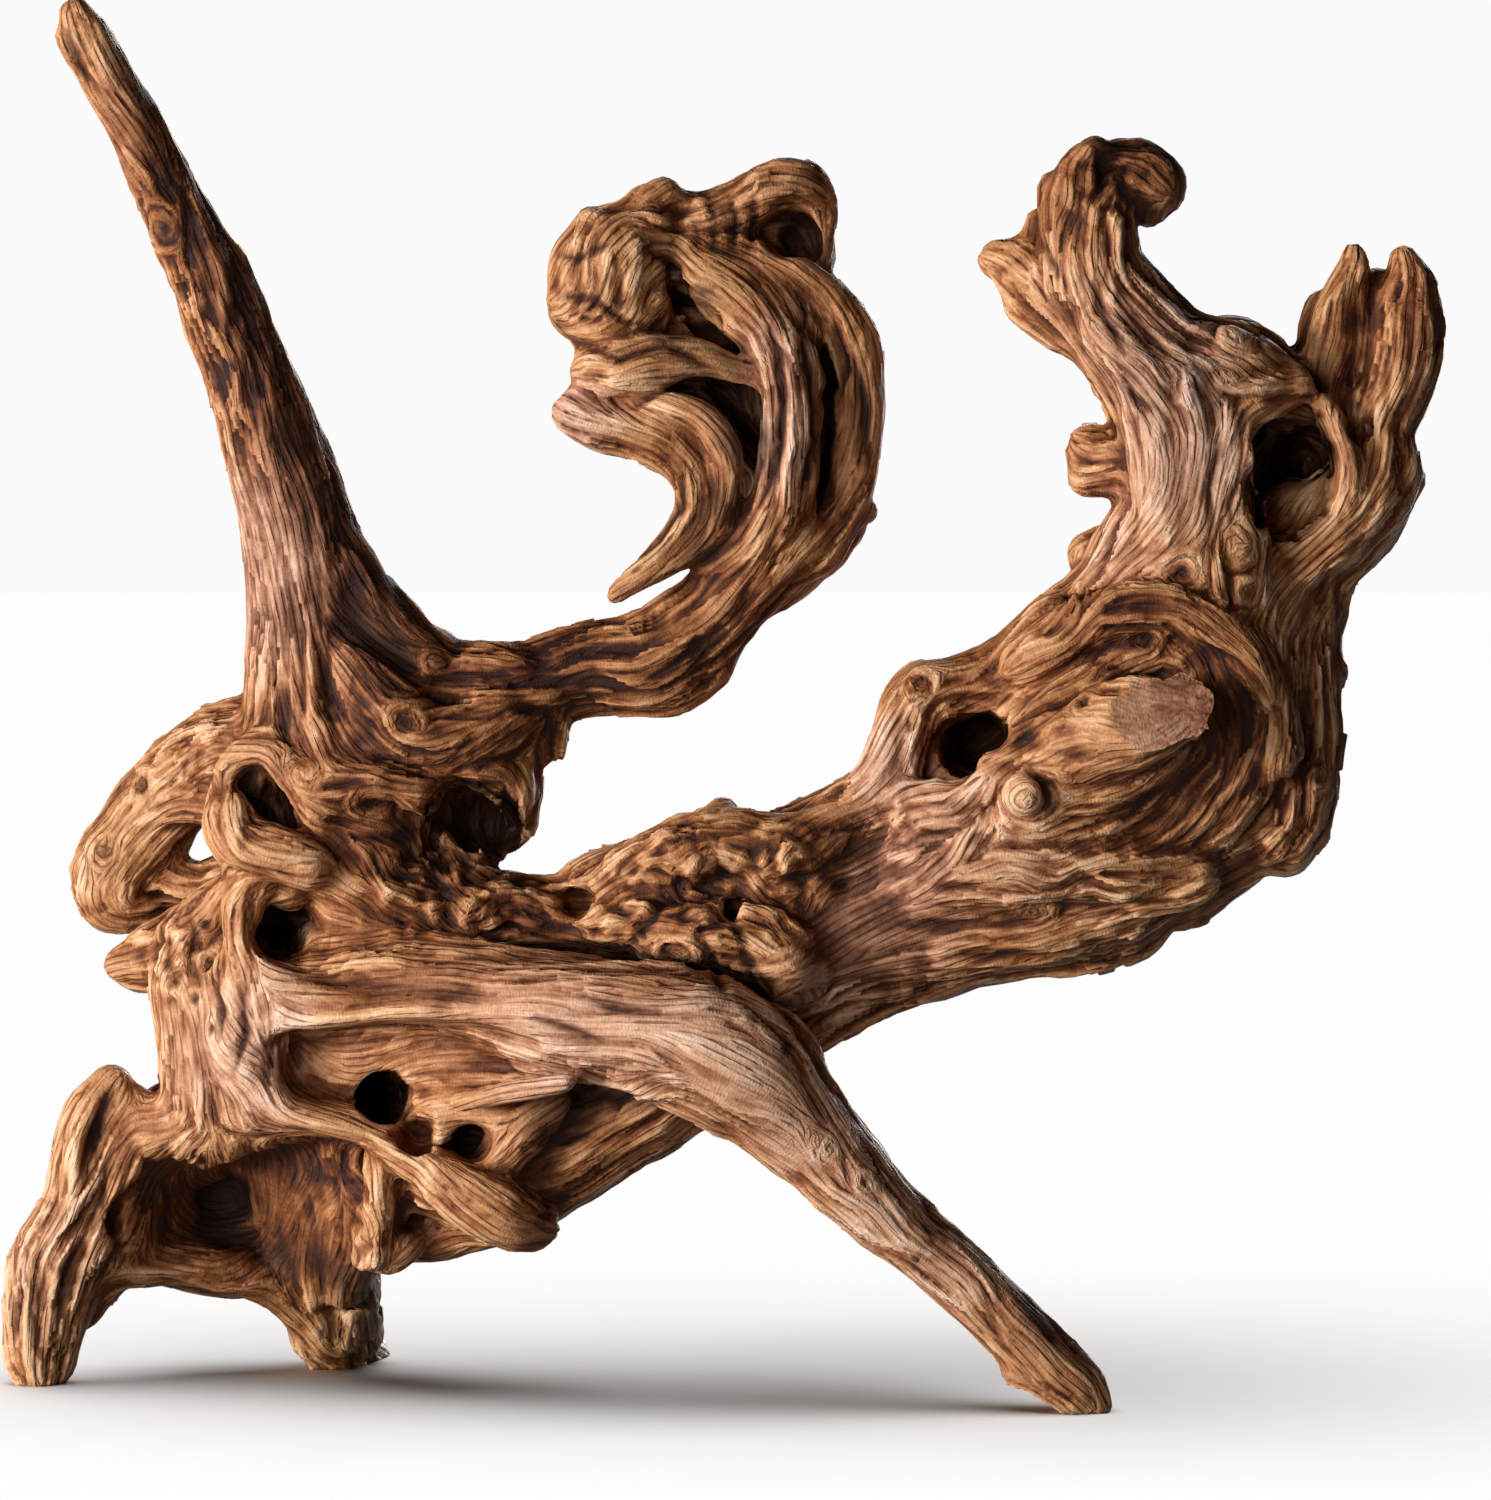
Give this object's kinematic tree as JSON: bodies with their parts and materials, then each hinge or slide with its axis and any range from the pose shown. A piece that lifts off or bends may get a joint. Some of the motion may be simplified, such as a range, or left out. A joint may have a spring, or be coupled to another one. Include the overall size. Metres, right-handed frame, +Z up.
{
  "type": "aquarium driftwood",
  "caption": "Gnarled natural root for an aquarium or terrarium that stands on three feet, with a tall spike, a curled branch and a forked trunk.",
  "frame": {"origin": "centre of the bounding box, at the ground the three feet stand on", "axes": "+Z up, +X to the picture's right, +Y away from the picture's viewer"},
  "size_m": [0.4366, 0.1572, 0.4176],
  "materials": {
    "driftwood": "weathered bare wood, pinkish tan to dark brown"
  },
  "bodies": {
    "root": {"driftwood": "driftwood"}
  },
  "joints": []
}
